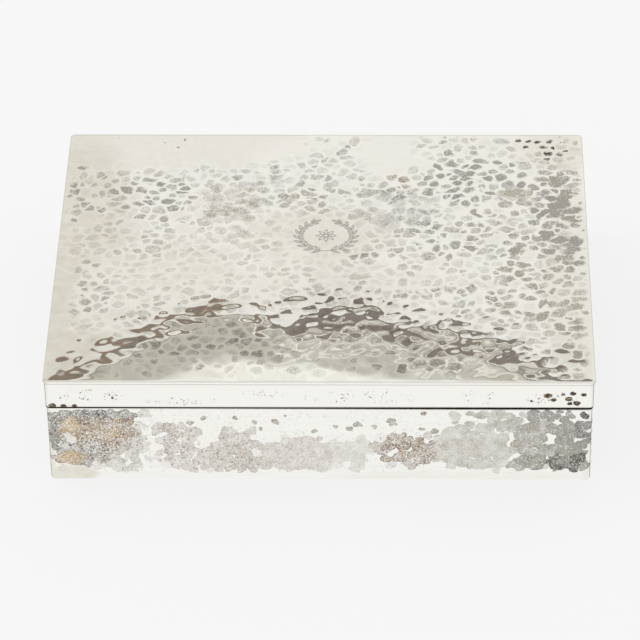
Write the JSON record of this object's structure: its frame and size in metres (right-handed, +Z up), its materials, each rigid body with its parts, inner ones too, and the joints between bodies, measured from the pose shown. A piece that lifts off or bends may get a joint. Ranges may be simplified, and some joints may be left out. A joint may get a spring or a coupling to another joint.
{
  "type": "silver casket",
  "caption": "Low rectangular hammered silver box with a domed hinged lid and a cedar lining in two compartments.",
  "frame": {"origin": "on the table, under the middle of the casket", "axes": "+X to the casket's right, +Y to the back, where the hinge is, +Z up"},
  "size_m": [0.2004, 0.1554, 0.047],
  "materials": {
    "hammered_silver": "hand-planished silver, polished, with grey and brown tarnish in the hammer marks",
    "plain_silver": "plain polished silver with light scratches and a few tarnish spots",
    "pin_steel": "drawn steel wire",
    "cedar": "unvarnished cedar, sanded"
  },
  "bodies": {
    "base": {"base_front_wall": "hammered_silver", "base_right_wall": "hammered_silver", "base_back_wall": "hammered_silver", "base_left_wall": "hammered_silver", "base_floor": "plain_silver", "base_hinge_bearer": "plain_silver", "base_knuckle_1": "plain_silver", "base_knuckle_2": "plain_silver", "base_knuckle_3": "plain_silver", "base_knuckle_4": "plain_silver", "base_knuckle_5": "plain_silver", "hinge_pin": "pin_steel", "pin_plug_left": "plain_silver", "pin_plug_right": "plain_silver", "lining_floor": "cedar", "lining_front": "cedar", "lining_right": "cedar", "lining_back": "cedar", "lining_left": "cedar", "divider": "cedar"},
    "lid": {"lid_front_wall": "plain_silver", "lid_right_wall": "plain_silver", "lid_back_wall": "plain_silver", "lid_left_wall": "plain_silver", "lid_top": "hammered_silver", "lid_hinge_bearer": "plain_silver", "lid_knuckle_1": "plain_silver", "lid_knuckle_2": "plain_silver", "lid_knuckle_3": "plain_silver", "lid_knuckle_4": "plain_silver", "lid_lining": "cedar"}
  },
  "joints": [
    {"name": "lid_hinge", "type": "hinge", "parent": "base", "child": "lid", "pos_m": [0, 0.076, 0.03385], "axis": [-1, 0, 0], "range_deg": [0, 98]}
  ]
}
